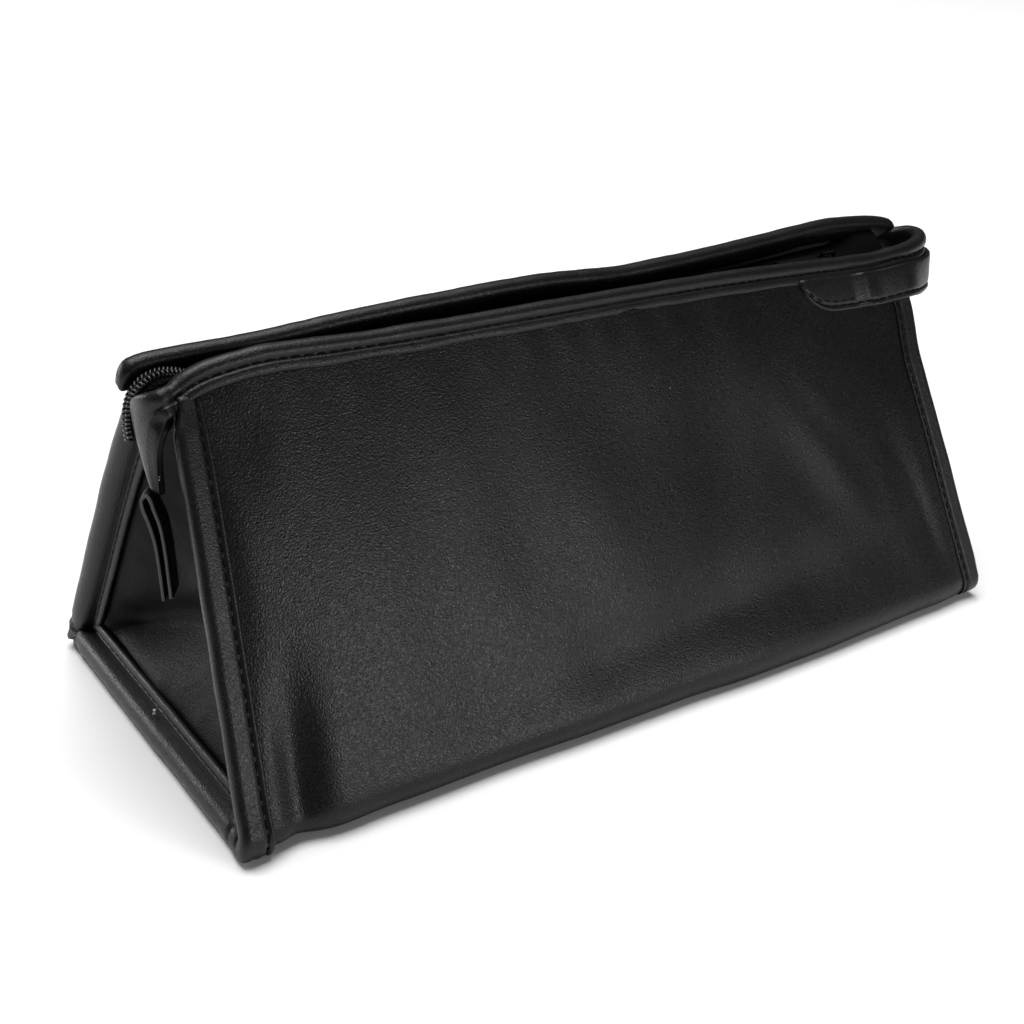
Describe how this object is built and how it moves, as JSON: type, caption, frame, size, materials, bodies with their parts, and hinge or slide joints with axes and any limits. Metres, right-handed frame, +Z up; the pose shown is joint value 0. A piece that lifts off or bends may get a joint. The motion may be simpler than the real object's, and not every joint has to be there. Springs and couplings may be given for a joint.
{
  "type": "makeup bag",
  "caption": "Tent-shaped soft makeup bag with bound triangular end gussets, a ridge zip, a carry loop at one end and a grab tab on the zip tail at the other.",
  "frame": {"origin": "centre of the base's underside", "axes": "+X along the ridge towards the carry loop, -Y is the front wall, +Z up"},
  "size_m": [0.3225, 0.1414, 0.1235],
  "materials": {
    "leather": "fine pebble grain, low sheen",
    "lining_cloth": "plain woven",
    "padding": "matt",
    "stiffener": "matt",
    "zip_tape": "herringbone woven",
    "zip_coil": "satin",
    "zip_metal": "black nickel, satin",
    "thread": "twisted thread"
  },
  "bodies": {
    "base": {"bottom_panel": "leather", "bottom_foam": "padding", "base_board": "stiffener", "bottom_lining": "lining_cloth", "left_gusset": "leather", "right_gusset": "leather", "left_gusset_lining": "lining_cloth", "right_gusset_lining": "lining_cloth", "left_end_binding": "leather", "right_end_binding": "leather", "left_end_stitching": "thread", "right_end_stitching": "thread", "carry_loop": "leather", "carry_loop_binding": "leather"},
    "front_wall": {"front_panel": "leather", "front_foam": "padding", "front_lining": "lining_cloth", "front_top_binding": "leather", "front_top_stitching": "thread", "front_zip_tape": "zip_tape", "front_zip_coil": "zip_coil", "front_top_stop": "zip_metal", "front_loop_anchor": "leather"},
    "back_wall": {"back_panel": "leather", "back_foam": "padding", "back_lining": "lining_cloth", "back_top_binding": "leather", "back_top_stitching": "thread", "back_zip_tape": "zip_tape", "back_zip_coil": "zip_coil", "back_top_stop": "zip_metal", "back_loop_anchor": "leather"},
    "slider": {"slider_body": "zip_metal", "slider_bridge": "zip_metal"},
    "puller": {"puller": "zip_metal"},
    "tail": {"tail_chain": "zip_coil", "tail_cover": "leather"},
    "grab_tab": {"grab_tab": "leather"}
  },
  "joints": [
    {"name": "front_wall_open", "type": "hinge", "parent": "base", "child": "front_wall", "pos_m": [0, -0.06935, 0.00872], "axis": [1, 0, 0], "range_deg": [0, 15]},
    {"name": "back_wall_open", "type": "hinge", "parent": "base", "child": "back_wall", "pos_m": [0, 0.06935, 0.00872], "axis": [-1, 0, 0], "range_deg": [0, 15]},
    {"name": "slider_travel", "type": "slide", "parent": "front_wall", "child": "slider", "axis": [-1, 0, 0], "range_m": [0, 0.24]},
    {"name": "puller_swing", "type": "hinge", "parent": "slider", "child": "puller", "pos_m": [0.1217, 0, 0.116], "axis": [0, 1, 0], "range_deg": [0, 160]},
    {"name": "tail_lift", "type": "hinge", "parent": "base", "child": "tail", "pos_m": [-0.1388, 0, 0.1136], "axis": [0, 1, 0], "range_deg": [0, 90]},
    {"name": "grab_tab_swing", "type": "hinge", "parent": "tail", "child": "grab_tab", "pos_m": [-0.1435, -0.0125, 0.0871], "axis": [0, 1, 0], "range_deg": [-8, 90]}
  ],
  "couplings": [
    {"joint": "back_wall_open", "follows": "front_wall_open", "ratio": 1},
    {"joint": "slider_travel", "follows": "front_wall_open", "m_per_rad": 0.9162}
  ]
}
